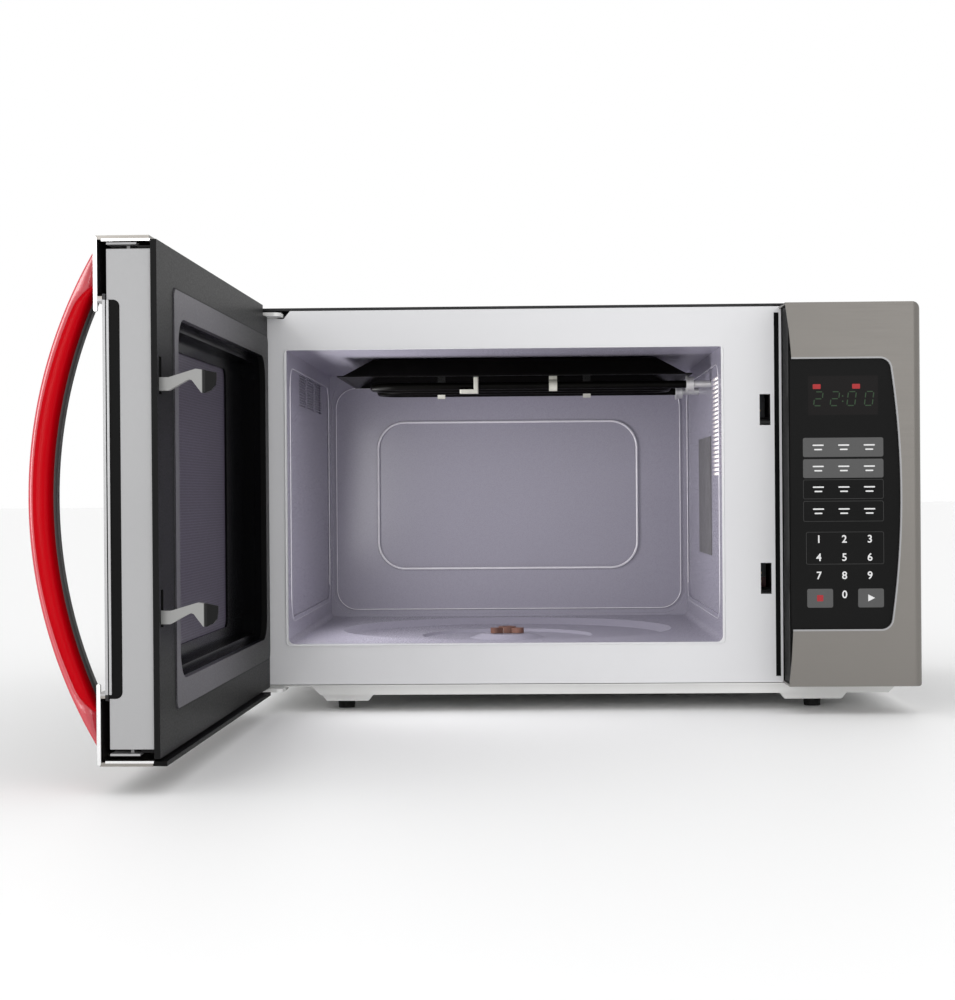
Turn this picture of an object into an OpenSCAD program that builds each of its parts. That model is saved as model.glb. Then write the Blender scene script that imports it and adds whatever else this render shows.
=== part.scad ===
// Countertop microwave oven with a grill, stored with its door open.
// Shapes are drawn in the mouth frame: X to the right, Y to the back, Z up, zero at the
// centre of the cavity mouth in the plane of the white front plate. Door pieces are drawn
// with the door shut and are then swung open about the hinge pins.
// in_body() and in_door() shift both to the object's own origin: the point on the worktop
// below the middle of the whole footprint, door included.

/* [Cavity] */
// Width of the cavity mouth
open_w = 354; // [350:1:356]
// Height of the cavity mouth
open_h = 240; // [236:1:242]
// Depth of the cavity
cav_d = 352; // [340:1:354]

/* [Case] */
// Left side of the case, from the middle of the mouth
case_left = 209; // [208.8:0.1:209.5]
// Right side of the case, from the middle of the mouth
case_right = 331; // [329:1:333]
// Top of the case, above the middle of the mouth
case_top = 154.5; // [154:0.5:157]
// Depth of the case behind the front plate
body_d = 392; // [388:1:400]
// Sheet metal thickness
sheet = 1.2; // [1:0.1:1.4]
// Underside of the feet, below the middle of the mouth
rest_drop = 175.5; // [174:0.5:178]

/* [Control panel] */
// How far the control panel's face stands in front of the front plate
fascia_d = 38; // [37:0.5:39]
// Height of the black keypad panel
panel_h = 217; // [210:1:222]

/* [Door] */
// Width of the door
door_w = 428; // [427:0.5:428.5]
// Thickness of the door over its steel bands
door_t = 38; // [37.5:0.5:38]
// Opening angle at rest
door_open = 91.2; // [85:0.1:103]
// How far the handle stands off the door
handle_out = 43.9; // [38:0.1:55]
// Width of the handle
handle_w = 22; // [16:1:26]
// Travel of the latch bar
latch_travel = 3; // [2:0.5:3]

/* [Cavity fittings] */
// Outer radius of the turntable well
well_r = 148; // [130:1:150]
// Length of each coupling lobe from the turntable axis
lobe_len = 12.5; // [11:0.5:14]
// Radius of the grill heater tube
heater_r = 3.25; // [3:0.05:3.5]

/* [Hidden] */
$fn = 64;
e = 1;                                   // overshoot of a cut

// front plate
plate_l = -case_left + 2.4;
plate_r = 225.8;
plate_t = case_top - 2.4;
plate_b = -153.1;
slot_x = 212.35;                         // latch slots
slot_w = 8.7;
slot_h = 25.2;
slot_z = [68.3, -68.7];
groove_x = 221.9;                        // groove beside the control panel
groove_w = 4;

// hinge axis, and the shut door's planes
gap = 0.8;
pin_in = 10;                             // axis to the door's inner face
pin_side = 8;                            // axis to the door's hinge side
hinge_x = -case_left + 0.6 + pin_side;
hinge_y = -gap - pin_in;
pin_r = 3;
run = 0.05;                              // running clearance of pins and shafts
door_l = hinge_x - pin_side;
door_r = door_l + door_w;
door_zt = 156.4;
door_zb = -158.5;
cover_z = 154;
fold_t = 2.4;                            // doubled steel along the top and the bottom
clear_r = 24;                            // room round the hinge brackets
top_hinge_z = 146.8;
bottom_hinge_z = -157.8;
hinge_t = 2.8;

// door window: steel bands above and below, black glass between
win_t = 118.9;
win_b = -116.6;
glass_t = [31.5, 33.3];                  // depths from the door's inner face
frame_t = [4.4, 23.2];
beam_t = 30.9;
recess_x = [-184.2, 159.8];              // recess in the door's inner side
recess_z = 113;
seal_x = [-199, 172.6];
seal_z = 130.8;
screen_x = [-107.2, 82.8];
screen_z = 98;

// latch
hook_x = 211.2;
hook_w = 5;
hook_z = [70, -69.1];
hook_out = 33;
bar_z = [-85, 85];

// control panel
fascia_y = -fascia_d;
panel_top = 107.9;
panel_bottom = panel_top - panel_h;
panel_bow_r = 705;
panel_right = 315.3;
skin = 1.6;

// floor, ceiling and fittings
floor_z = -open_h / 2;
roof_z = open_h / 2;
wall_x = open_w / 2;
cav_y = cav_d / 2;                       // turntable axis
base_z = -162.6;
pad_z = -168;
heater_z = 95.3;
heater_y = [101, 141, 181, 221];
bend_r = 20;
boss_z = -124.5;
hanger_x = [-60, 75];                    // studs that hold the grill reflector
hanger_y = [120, 240];

// object origin, in the mouth frame
reach = pin_in - door_t - handle_out;
left_end = hinge_x + cos(door_open) * (door_r - 9 - hinge_x) + sin(door_open) * reach;
front_end = hinge_y - sin(door_open) * (door_r - hinge_x) + cos(door_open) * pin_in;
back_end = body_d + 3.5;
org = [(left_end + case_right) / 2, (front_end + back_end) / 2, -rest_drop];

// ---------------------------------------------------------------- placing and basic shapes

module in_body() translate(-org) children();

module in_door() in_body()
    translate([hinge_x, hinge_y, 0]) rotate([0, 0, -door_open]) translate([-hinge_x, -hinge_y, 0])
    children();

// depth t behind the shut door's inner face
function ty(t) = -gap - t;

// a box between two corners
module box(lo, hi) translate(lo) cube(hi - lo);

// outlines drawn in the XZ, YZ or XY plane and made solid between two values
module xz(y0, y1) translate([0, y1, 0]) rotate([90, 0, 0]) linear_extrude(y1 - y0) children();
module yz(x0, x1) translate([x0, 0, 0]) rotate([90, 0, 90]) linear_extrude(x1 - x0) children();
module xy(z0, z1) translate([0, 0, z0]) linear_extrude(z1 - z0) children();

module cyl_x(r, x0, x1) translate([x0, 0, 0]) rotate([0, 90, 0]) cylinder(h = x1 - x0, r = r);
module cyl_y(r, y0, y1) translate([0, y0, 0]) rotate([-90, 0, 0]) cylinder(h = y1 - y0, r = r);
module cyl_z(r, z0, z1) translate([0, 0, z0]) cylinder(h = z1 - z0, r = r);

// a rectangle between two corners with rounded corners
module round_rect(lo, hi, r) {
    translate([lo[0] + r, lo[1]]) square([hi[0] - lo[0] - 2 * r, hi[1] - lo[1]]);
    translate([lo[0], lo[1] + r]) square([hi[0] - lo[0], hi[1] - lo[1] - 2 * r]);
    for (x = [lo[0] + r, hi[0] - r], y = [lo[1] + r, hi[1] - r]) translate([x, y]) circle(r);
}

// a rectangle with only its two upper corners rounded
module arch(lo, hi, r) {
    translate(lo) square([hi[0] - lo[0], hi[1] - lo[1] - r]);
    translate([lo[0] + r, lo[1]]) square([hi[0] - lo[0] - 2 * r, hi[1] - lo[1]]);
    for (x = [lo[0] + r, hi[0] - r]) translate([x, hi[1] - r]) circle(r);
}

// the cavity's cross-section: a rectangle with only its two lower corners rounded
module mouth(grow, r) mirror([0, 1])
    arch([-wall_x - grow, -roof_z - grow], [wall_x + grow, roof_z + grow], r + grow);

// a symmetric trapezium from z0 (wide end) to z1 (narrowed by run at each side)
function trapezium(x0, x1, z0, z1, side) = [[x0, z0], [x1, z0], [x1 - side, z1], [x0 + side, z1]];

// rows of slots: boxes of size, stepped by pitch from the first corner
module slot_grid(first, size, counts, pitch)
    for (i = [0 : counts[0] - 1], j = [0 : counts[1] - 1], k = [0 : counts[2] - 1])
        translate(first + [i * pitch[0], j * pitch[1], k * pitch[2]]) cube(size);

// ---------------------------------------------------------------- body shell

module front_plate() color("whitesmoke") in_body() {
    difference() {
        box([plate_l, 0, plate_b], [plate_r, sheet, plate_t]);
        xz(-e, sheet + e) mouth(0, 5);
        for (z = slot_z)
            xz(-e, sheet + e) translate([slot_x, z]) square([slot_w, slot_h], center = true);
        box([groove_x - groove_w / 2, -e, plate_b + 5], [groove_x + groove_w / 2, sheet + e, plate_t - 5]);
        // room for the upper hinge bracket
        xz(-e, sheet + e) polygon([
            [plate_l - e, top_hinge_z - 1], [-179, top_hinge_z - 1],
            [-173, plate_t + e], [plate_l - e, plate_t + e]]);
    }
    // folded edges
    box([-172, sheet, plate_t - sheet], [plate_r, 12, plate_t]);
    box([plate_l, sheet, plate_b], [plate_l + sheet, 12, top_hinge_z - 2]);
    box([-178, sheet, plate_b], [plate_r, 12, plate_b + sheet]);
}

module cavity_liner() color("thistle") in_body() difference() {
    union() {
        xz(sheet, cav_d + sheet * 2) mouth(sheet, 5);
        // embossed fields of the back and side walls
        xz(cav_d, cav_d + sheet * 2 + 3) round_rect([-130.2, -73.2], [129.2, 74.2], 27);
        for (s = [-1, 1])
            yz(min(s * wall_x, s * (wall_x + 2.7)), max(s * wall_x, s * (wall_x + 2.7)))
                round_rect([18.8, -101.2], [336.2, 109.2], 22);
        // turntable well
        translate([0, cav_y, 0]) {
            cyl_z(well_r + sheet, floor_z - 7.2, floor_z - 0.5);
            cyl_z(78.2, well_under, floor_z - 2);
        }
    }
    xz(0, cav_d - 3) mouth(0, 5);
    xz(0, cav_d + sheet) round_rect([-wall_x + 2, floor_z + 2], [wall_x - 2, roof_z - 2], 22);
    xz(cav_d, cav_d + sheet + 3) round_rect([-129, -72], [128, 73], 26);
    for (s = [-1, 1])
        yz(min(s * (wall_x - e), s * (wall_x + 1.5)), max(s * (wall_x - e), s * (wall_x + 1.5)))
            round_rect([20, -100], [335, 108], 21);
    difference() {
        translate([0, cav_y, 0]) {
            translate([0, 0, floor_z - 6]) cylinder(h = 6.01, r1 = well_r - 7, r2 = well_r);
            translate([0, 0, floor_z - 8.5]) cylinder(h = 2.51, r1 = 75, r2 = 77);
        }
        translate([0, cav_y, floor_z - 9]) cylinder(h = boss_z - floor_z + 9, r1 = 35, r2 = 22.7);
    }
    translate([0, cav_y, 0]) cyl_z(6, -140, floor_z);
    // lamp and air slots on the right, air slots on the left
    slot_grid([wall_x - 2, 24, 16], [9, 68, 2.2], [1, 1, 23], [0, 0, 3.64]);
    slot_grid([wall_x - 2, 5, 16], [9, 10, 2.2], [1, 1, 23], [0, 0, 3.64]);
    slot_grid([-wall_x - 7, 100, 79.5], [9, 56, 1.3], [1, 3, 12], [0, 62, 2.35]);
    // waveguide mouth and the two heater holes
    box([wall_x - 2, 118, -22], [wall_x + 8, 193, 23]);
    for (y = [heater_y[0], heater_y[3]])
        translate([0, y, heater_z]) cyl_x(heater_r + 0.6, wall_x - 2, wall_x + 8);
    // the reflector's hangers pass through the roof
    for (x = hanger_x, y = hanger_y) translate([x, y, 0]) cyl_z(2, roof_z - e, roof_z + 5);
}

module outer_case() color([0.08, 0.08, 0.08]) in_body() difference() {
    union() {
        difference() {
            xz(0.3, body_d) arch([-case_left, -154.8], [case_right, case_top], 6);
            xz(0.3 - e, body_d + e)
                arch([-case_left + sheet, -156], [case_right - sheet, case_top - sheet], 6 - sheet);
        }
        // doubled front hem
        difference() {
            xz(0.3, 7) arch([-case_left + 0.2, -154.8], [222, case_top - 0.2], 6);
            xz(0.3 - e, 7 + e) arch([-case_left + 2.2, -156], [240, case_top - 2.2], 3.8);
        }
    }
    // the hem ends where the control panel starts
    box([222.5, -e, -150], [case_right - sheet, 8, case_top - sheet]);
    // air slots: right side front and back, left side back
    slot_grid([case_right - 3, 250, -60], [6, 42, 3], [1, 2, 14], [0, 50, 9]);
    slot_grid([case_right - 3, 40, -130], [6, 42, 3], [1, 2, 5], [0, 50, 9]);
    slot_grid([-case_left - 3, 285, 20], [6, 42, 3], [1, 2, 9], [0, 50, 9]);
}

// one pressed foot pad, wide at the tray and narrow where the foot sits
module foot_pads(lo, side)
    for (x = [[-153.5, -107], [222.5, 281]], y = [[14, 56], [332, 374]])
        xz(y[0] + lo, y[1] - lo) polygon(trapezium(x[0] + lo, x[1] - lo, base_z + 2, pad_z + lo, side));

module base_plate() color("silver") in_body() difference() {
    union() {
        box([-case_left + 2.4, 2, -155], [case_right - 1.6, body_d - 3, -153.8]);
        xz(8, 380) polygon(trapezium(-161, 321, -154, base_z, 9));
        foot_pads(0, 6);
    }
    xz(8 + sheet, 380 - sheet) polygon(trapezium(-159.4, 319.4, -153, base_z + sheet, 8));
    foot_pads(sheet, 6);
    // air slots under the electronics and the hole for the turntable motor cover
    slot_grid([200, 180, base_z - e], [3, 60, 4], [9, 2, 1], [9, 72, 1]);
    translate([0, cav_y, base_z]) for (a = [0 : 60 : 300]) rotate(a) translate([40, 0, 0]) cyl_z(4, -e, 3);
}

module back_panel() color([0.12, 0.12, 0.12]) in_body() difference() {
    union() {
        xz(body_d - sheet, body_d)
            arch([-case_left + 1.6, -153.6], [case_right - 1.6, case_top - 1.6], 4.6);
        // raised field over the fan
        xz(body_d - sheet, body_d + 1.8) round_rect([192, -28], [318, 98], 14);
    }
    xz(body_d - sheet - e, body_d + 0.6) round_rect([193.2, -26.8], [316.8, 96.8], 12.8);
    slot_grid([203, body_d - 4, -16], [18, 8, 4], [4, 1, 10], [28.5, 0, 10.5]);
    slot_grid([-176, body_d - 4, 60], [26, 8, 3.5], [3, 1, 7], [34, 0, 9]);
    slot_grid([-176, body_d - 4, -128], [26, 8, 3.5], [3, 1, 4], [34, 0, 9]);
    translate([298, 0, -122]) cyl_y(8, body_d - 4, body_d + 4);
}

foot_at = [[-133, 35], [253.8, 35], [-133, 353], [253.8, 353]];

module rubber_feet() color([0.05, 0.05, 0.05]) in_body()
    for (p = foot_at) translate([p[0], p[1], -rest_drop])
        cylinder(h = rest_drop + pad_z, r1 = 6.7, r2 = 7.4);

// a hinge bracket: tongue in front of the plate, tab behind it, and the door's pin
module hinge_tongue(z) {
    xy(z, z + hinge_t) {
        translate([hinge_x - 5.6, hinge_y]) square([21 + 5.6 - 6, 26]);
        translate([hinge_x, hinge_y + 6]) square([21, 20]);
        translate([hinge_x + 15, hinge_y]) circle(6);
        translate([hinge_x, hinge_y]) circle(5.6);
        translate([hinge_x - 1, hinge_y - 6]) square([16, 8]);
    }
}

module upper_hinge_bracket() color("silver") in_body() {
    hinge_tongue(top_hinge_z);
    translate([hinge_x, hinge_y, 0]) cyl_z(pin_r, top_hinge_z - 9, top_hinge_z);
    box([hinge_x - 4, sheet, top_hinge_z - 26], [hinge_x + 16, sheet + 2.2, top_hinge_z + 1]);
}

module lower_hinge_bracket() color("silver") in_body() {
    hinge_tongue(bottom_hinge_z);
    translate([hinge_x, hinge_y, 0]) cyl_z(pin_r, bottom_hinge_z + hinge_t, bottom_hinge_z + hinge_t + 11);
}

// ---------------------------------------------------------------- control panel

// front view of the control panel: slanted left edge, rounded corners on the right
module fascia_outline() {
    top = case_top - 3.1;
    polygon([
        [224, top], [226.9, 130], [228.7, panel_top], [228.7, panel_bottom],
        [227.4, -132], [225.4, plate_b], [300, plate_b], [300, top]]);
    intersection() {
        round_rect([240, plate_b], [case_right, top + 0.01], 3);
        translate([240, plate_b - e]) arch([0, 0], [case_right - 240, top - plate_b + e], 7);
    }
}

// the black field that the door's glass carries on across the control panel
module panel_field(grow) offset(r = 10 + grow) offset(delta = -10) intersection() {
    translate([190, panel_bottom]) square([140, panel_h]);
    translate([panel_right - panel_bow_r, (panel_top + panel_bottom) / 2]) circle(panel_bow_r, $fn = 720);
}

module control_fascia() color([0.55, 0.53, 0.5]) in_body() difference() {
    intersection() {
        xz(fascia_y, -0.2) fascia_outline();
        xy(-160, 160) round_rect([200, fascia_y], [case_right, 30], 7);
    }
    // hollow behind the skin, open to the left and to the back
    intersection() {
        box([200, fascia_y + skin, plate_b + skin], [case_right - skin, e, case_top - 3.1 - skin]);
        xy(-160, 160) round_rect([180, fascia_y + skin], [case_right - skin, 30], 5.4);
    }
    xz(fascia_y - e, fascia_y + skin + 0.1) panel_field(0);
}

// the chassis behind the keypad, with a flange that closes the front plate's groove
housing_x = [226.6, case_right - skin - 0.4];
housing_z = [plate_b + skin + 0.2, case_top - 5];
housing_front = fascia_y + skin + 1.2;
module control_housing() color([0.06, 0.06, 0.06]) in_body() difference() {
    union() {
        intersection() {
            box([housing_x[0], housing_front, housing_z[0]], [housing_x[1], -0.2, housing_z[1]]);
            xy(-160, 160) round_rect([200, housing_front], [housing_x[1], 30], 5);
        }
        box([housing_x[0], housing_front, housing_z[0]], [228.6, sheet + 1.3, housing_z[1]]);
        box([groove_x - 2.9, sheet + 0.1, housing_z[0]], [228.6, sheet + 1.3, housing_z[1]]);
    }
    box([228.6, housing_front + 2, plate_b + 5], [case_right - 5, e, case_top - 7.5]);
    // display opening and the keypad tail's slot
    box([244, fascia_y, 64], [295, -30, 91]);
    box([255, fascia_y, -106], [290, -30, -102]);
}

module fascia_trim() color("gainsboro") in_body() difference() {
    xz(fascia_y - 0.3, fascia_y + skin) intersection() {
        panel_field(0);
        translate([228.7, -150]) square([120, 300]);
    }
    xz(fascia_y - e, fascia_y + skin + e) panel_field(-1.3);
}

module membrane_keypad() color([0.1, 0.1, 0.1]) in_body() difference() {
    box([227.6, fascia_y + skin, panel_bottom - 5], [319, fascia_y + skin + 1.2, panel_top + 5]);
    box([242, fascia_y, 62], [297, fascia_y + 4, 93]);
}

module display_window() color([0.1, 0.05, 0.05, 0.6]) in_body()
    box([242, fascia_y + skin, 62], [297, fascia_y + skin + 1.2, 93]);

module control_board() color("darkgreen") in_body() difference() {
    box([232, -27.2, -98], [324, -25.6, 100]);
    for (x = [237, 319], z = [-92, 94]) translate([x, 0, z]) cyl_y(1.75, -28, -25);
}

module display_module() color("white") in_body() difference() {
    box([245, -32.6, 65], [294, -27.2, 90]);
    for (i = [0 : 3]) box([250 + i * 10.5, -33, 69], [257 + i * 10.5, -32.2, 81]);
}

// relays, a small transformer and a buzzer on the back of the board
module board_parts() color([0.15, 0.2, 0.35]) in_body() {
    for (i = [0 : 2]) box([238 + i * 24, -25.6, -90], [257 + i * 24, -9.6, -62]);
    difference() {
        box([240, -25.6, -40], [282, -2, -8]);
        for (z = [-41, -13]) box([247, -20, z], [275, -1, z + 6]);
    }
    translate([305, 0, 30]) difference() {
        cyl_y(6, -25.6, -16);
        cyl_y(1, -18, -15);
    }
    for (i = [0 : 3]) translate([245 + i * 14, 0, 50]) cyl_y(4, -25.6, -12);
}

// ---------------------------------------------------------------- interlock

module interlock_bracket() color("ivory") in_body() {
    difference() {
        box([218.2, sheet + 1.8, -112], [220.4, 58, 112]);
        for (z = [-40, 0, 40]) translate([0, 40, z]) cyl_x(6, 217, 222);
    }
    for (z = hook_z) {
        // shelves round each hook, and the catch that its barb drops behind
        box([204, sheet, z + 17], [218.2, 58, z + 19]);
        box([204, sheet, z - 13], [218.2, 34, z - 11]);
        yz(204, 218.2) polygon([
            [13.2, z - 11], [20.7, z - 11], [20.7, z - 7.5], [16.5, z - 7.5], [13.2, z - 9.5]]);
    }
}

// a microswitch lying in the YZ plane with its plunger hole in its front
switch_front = -gap + hook_out + 3;
module microswitch(z0, z1, plunger_z) difference() {
    box([206, switch_front, z0], [216.4, switch_front + 15.9, z1]);
    translate([hook_x, 0, plunger_z]) cyl_y(1.6 + run, switch_front - e, switch_front + 4);
    for (z = [z0 + 2.9, z1 - 2.9]) translate([0, switch_front + 13, z]) cyl_x(1.5, 205, 218);
}
module plunger(z) translate([hook_x, 0, z]) {
    cyl_y(1.6, switch_front - 2.5, switch_front + 2.2);
}
primary_z = 69;
secondary_z = -65.5;
monitor_z = -72.5;

module primary_switch() color("dimgray") in_body() microswitch(59.2, 86.9, primary_z);
module secondary_switch() color("dimgray") in_body() microswitch(-68.8, -52.4, secondary_z);
module monitor_switch() color([0.5, 0.1, 0.1]) in_body() microswitch(-96.7, -69.1, monitor_z);
module primary_plunger() color("gold") in_body() plunger(primary_z);
module secondary_plunger() color("gold") in_body() plunger(secondary_z);
module monitor_plunger() color("gold") in_body() plunger(monitor_z);

// ---------------------------------------------------------------- microwave power parts

magnetron_x = 214.5;
module magnetron() color("silver") in_body() {
    // steel yoke, open front and back for the cooling air
    difference() {
        box([magnetron_x, 112, -36], [magnetron_x + 84, 198, 37]);
        box([magnetron_x + 2, 110, -34], [magnetron_x + 82, 200, 35]);
    }
    // anode barrel and its fins
    translate([0, 155, 0.5]) cyl_x(19, magnetron_x + 2, magnetron_x + 82);
    for (i = [0 : 8])
        translate([magnetron_x + 14 + i * 6.5, 0, 0]) box([0, 114, -33.6], [0.8, 196, 34.6]);
    // filter box
    box([magnetron_x + 84, 125, -26], [magnetron_x + 108, 185, 27]);
    // antenna and its flange, part of the tube
    translate([0, 155, 0.5]) {
        cyl_x(7, 190, magnetron_x);
        cyl_x(14, magnetron_x - 2.2, magnetron_x + 1);
    }
}

module waveguide() color("lightgray") in_body() difference() {
    box([wall_x + 2.7, 108, -42], [magnetron_x - 2.2, 203, 43]);
    box([wall_x, 110, -40], [magnetron_x - 3.7, 201, 41]);
    translate([0, 155, 0.5]) cyl_x(8, 200, 220);
}

module waveguide_cover() color("gray") in_body()
    box([wall_x + 0.4, 101, -53], [wall_x + 1.5, 210, 50]);

module hv_transformer_core() color([0.3, 0.3, 0.32]) in_body() difference() {
    box([218, 62, base_z + sheet], [302, 122, -94]);
    for (x = [231, 276]) box([x, 60, -146], [x + 13, 124, -109]);
}

module hv_transformer_windings() color([0.7, 0.35, 0.15]) in_body() difference() {
    xy(-145.5, -109.5) round_rect([231.5, 50], [288.5, 134], 12);
    box([244, 61.9, -150], [276, 122.1, -100]);
    for (x = [218, 288.9]) box([x, 62, -150], [x + 13, 122, -100]);
}

module hv_capacitor() color("gainsboro") in_body() {
    xy(base_z + sheet, -110) round_rect([222, 196], [276, 230], 16.9);
    for (x = [238, 258]) box([x, 210, -110], [x + 6, 211, -98]);
}

module capacitor_clamp() color("silver") in_body() difference() {
    xy(-146, -132) union() {
        round_rect([220.8, 194.8], [277.2, 231.2], 18.1);
        translate([277, 211]) square([18, 3]);
    }
    xy(-147, -131) round_rect([222, 196], [276, 230], 16.9);
}

module hv_diode() color([0.1, 0.1, 0.1]) in_body() translate([290, 0, -138]) {
    cyl_y(3, 217, 239);
    cyl_y(0.7, 214, 246);
}

// ---------------------------------------------------------------- fan

fan_x = 255;
fan_z = 35;
module fan_shroud() color([0.2, 0.2, 0.2]) in_body() {
    difference() {
        box([fan_x - 60, 352, fan_z - 60], [fan_x + 60, body_d - sheet, fan_z + 60]);
        translate([fan_x, 0, fan_z]) cyl_y(55.5, 354, body_d);
        translate([fan_x, 0, fan_z]) cyl_y(50, 350, 356);
    }
    for (x = [-1, 1]) box([fan_x + x * 42 - 5, 320, fan_z - 4], [fan_x + x * 42 + 5, 352, fan_z + 4]);
}

module fan_motor() color("lightslategray") in_body() difference() {
    union() {
        box([fan_x - 47, 306, fan_z - 14], [fan_x + 47, 320, fan_z + 14]);
        box([fan_x - 24, 301, fan_z - 30], [fan_x + 24, 325, fan_z + 14]);
        translate([fan_x, 0, fan_z]) cyl_y(12, 296, 332);
    }
    translate([fan_x, 0, fan_z]) cyl_y(2.5 + run, 300, 334);
}

module fan_blade() color("lightblue") in_body() translate([fan_x, 0, fan_z]) {
    cyl_y(2.5, 301, 362);
    difference() {
        cyl_y(11, 358, 380);
        cyl_y(8.5, 362, 381);
    }
    for (a = [0 : 72 : 288]) rotate([0, a, 0]) translate([9.5, 369, 0]) rotate([32, 0, 0])
        box([0, -0.9, -13], [42, 0.9, 13]);
}

// ---------------------------------------------------------------- turntable drive and lamp

well_under = floor_z - 9.7;
module turntable_motor() color("silver") in_body() translate([0, cav_y, 0]) difference() {
    union() {
        cyl_z(24.5, well_under - 17.3, well_under - 1.6);
        xy(well_under - 1.6, well_under) round_rect([-33, -8], [33, 8], 6);
    }
    cyl_z(pin_r + run, -143, well_under + e);
    for (x = [-28, 28]) translate([x, 0, 0]) cyl_z(2, well_under - 3, well_under + e);
}

module turntable_coupling() color([0.42, 0.27, 0.22]) in_body() translate([0, cav_y, 0]) {
    difference() {
        union() {
            cyl_z(8, boss_z + 0.4, boss_z + 6);
            for (a = [90, 210, 330]) rotate(a) xy(boss_z + 0.4, boss_z + 5.2) {
                translate([0, -4.2]) square([lobe_len, 8.4]);
                translate([lobe_len, 0]) circle(4.2);
            }
        }
        cyl_z(5, boss_z + 4.5, boss_z + 7);
    }
    cyl_z(pin_r, -142, boss_z + 2);
}

lamp_at = [192, 0, 57];
module lamp_housing() color("gainsboro") in_body() difference() {
    box([wall_x + 2.7, 20, 12], [203.4, 93.6, 102]);
    box([wall_x, 20 + sheet, 12 + sheet], [203.4 - sheet, 93.6 - sheet, 102 - sheet]);
    translate(lamp_at) cyl_y(8.9, 90, 96);
}

module oven_lamp() color("lightyellow") in_body() translate(lamp_at) {
    cyl_y(8.8, 88, 106);
    cyl_y(5.5, 80, 88);
    cyl_y(7.5, 50, 80);
    translate([0, 50, 0]) rotate([90, 0, 0]) cylinder(h = 5, r1 = 7.5, r2 = 4);
}

module thermal_cutouts() color([0.15, 0.15, 0.15]) in_body() {
    translate([240, 155, 0]) cyl_z(9, 37, 47);
    translate([wall_x - 50, 230, 0]) cyl_z(9, roof_z + sheet, roof_z + 11);
}

module mains_filter() color("darkgreen") in_body() {
    box([205, 381, 106], [290, 382.6, 146]);
    for (x = [212, 283], z = [112, 140]) translate([x, 0, z]) cyl_y(2, 382.6, body_d - sheet);
    translate([235, 0, 126]) difference() {
        cyl_y(13, 367, 381);
        cyl_y(6, 366, 382);
    }
    box([256, 365, 112], [280, 381, 124]);
    translate([268, 0, 136]) cyl_y(5, 368, 381);
}

// ---------------------------------------------------------------- grill

refl_x = [-141, 158];
refl_y = [86, 262];
refl_z = 103;
module reflector_block(inset, z0) intersection() {
    xz(refl_y[0] - 5, refl_y[1] + 5)
        polygon(trapezium(refl_x[0] + inset, refl_x[1] - inset, z0, roof_z - 1.4 - inset, 27));
    yz(refl_x[0] - 5, refl_x[1] + 5)
        polygon(trapezium(refl_y[0] + inset, refl_y[1] - inset, z0, roof_z - 1.4 - inset, 12));
}

module grill_reflector() color([0.06, 0.06, 0.06]) in_body() {
    difference() {
        union() {
            reflector_block(0, refl_z);
            box([refl_x[0] - 3, refl_y[0] - 3, refl_z], [refl_x[1] + 3, refl_y[1] + 3, refl_z + 1]);
        }
        reflector_block(1, refl_z - 0.01);
        box([refl_x[0] + 1, refl_y[0] + 1, refl_z - e], [refl_x[1] - 1, refl_y[1] - 1, refl_z + 0.2]);
    }
    for (x = hanger_x, y = hanger_y) translate([x, y, 0]) cyl_z(1.9, roof_z - 3, roof_z + 3);
}

// four straight runs joined by three half-round bends
module grill_heater() color([0.1, 0.09, 0.08]) in_body() {
    left = -95;
    right = 125;
    for (i = [0 : 3]) translate([0, heater_y[i], heater_z])
        cyl_x(heater_r, left, i == 0 || i == 3 ? 164 : right);
    for (b = [[left, 121, 90], [right, 161, -90], [left, 201, 90]])
        translate([b[0], b[1], heater_z]) rotate(b[2])
        rotate_extrude(angle = 180) translate([bend_r, 0]) circle(heater_r);
}

// three ring clips hang the tube, and a J of ceramic carries the front run
ring_clips = [[42, heater_y[0]], [-60, heater_y[3]], [75, heater_y[3]]];
tube_under = heater_z - heater_r;
tube_over = heater_z + heater_r;
module heater_clips() color("cornsilk") in_body() {
    for (p = ring_clips) translate([p[0], p[1], 0]) {
        difference() {
            translate([0, 0, heater_z]) cyl_x(heater_r + 1.9, -3.5, 3.5);
            translate([0, 0, heater_z]) cyl_x(heater_r + 0.02, -4, 4);
            box([-4, -1.4, heater_z - 8], [4, 1.4, heater_z]);
        }
        box([-3.5, -1, tube_over + 1], [3.5, 1, roof_z - 2.4]);
    }
    translate([-24.7, heater_y[0], 0]) {
        xy(tube_under - 3.3, tube_under) round_rect([-14, -7], [2, 2.5], 1.5);
        xy(tube_under - 3.3, tube_over + 4) round_rect([-2, -7], [2, -3.6], 1);
        box([-2, -5, tube_over + 1], [2, 1, tube_over + 4]);
        box([-2, -1, tube_over + 1], [2, 1, roof_z - 2.4]);
    }
}

module heater_terminals() color("gray") in_body()
    for (y = [heater_y[0], heater_y[3]]) translate([0, y, heater_z]) {
        cyl_x(3.1, 164, wall_x + 22);
        difference() {
            cyl_x(7.6, 157, 158.2);
            cyl_x(heater_r + 0.02, 156, 160);
        }
        difference() {
            cyl_x(6.5, 158.2, 163.5);
            cyl_x(heater_r + 0.02, 157, 164);
        }
        difference() {
            cyl_x(7, wall_x + 2.8, wall_x + 12);
            cyl_x(3.15, wall_x, wall_x + 13);
        }
    }

// ---------------------------------------------------------------- back fittings and screws

module cord_bushing() color([0.07, 0.07, 0.07]) in_body() translate([298, 0, -122]) difference() {
    union() {
        cyl_y(11, body_d, body_d + 3.5);
        cyl_y(7.9, body_d - 9, body_d);
    }
    cyl_y(4, body_d - 10, body_d + 5);
}

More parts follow.
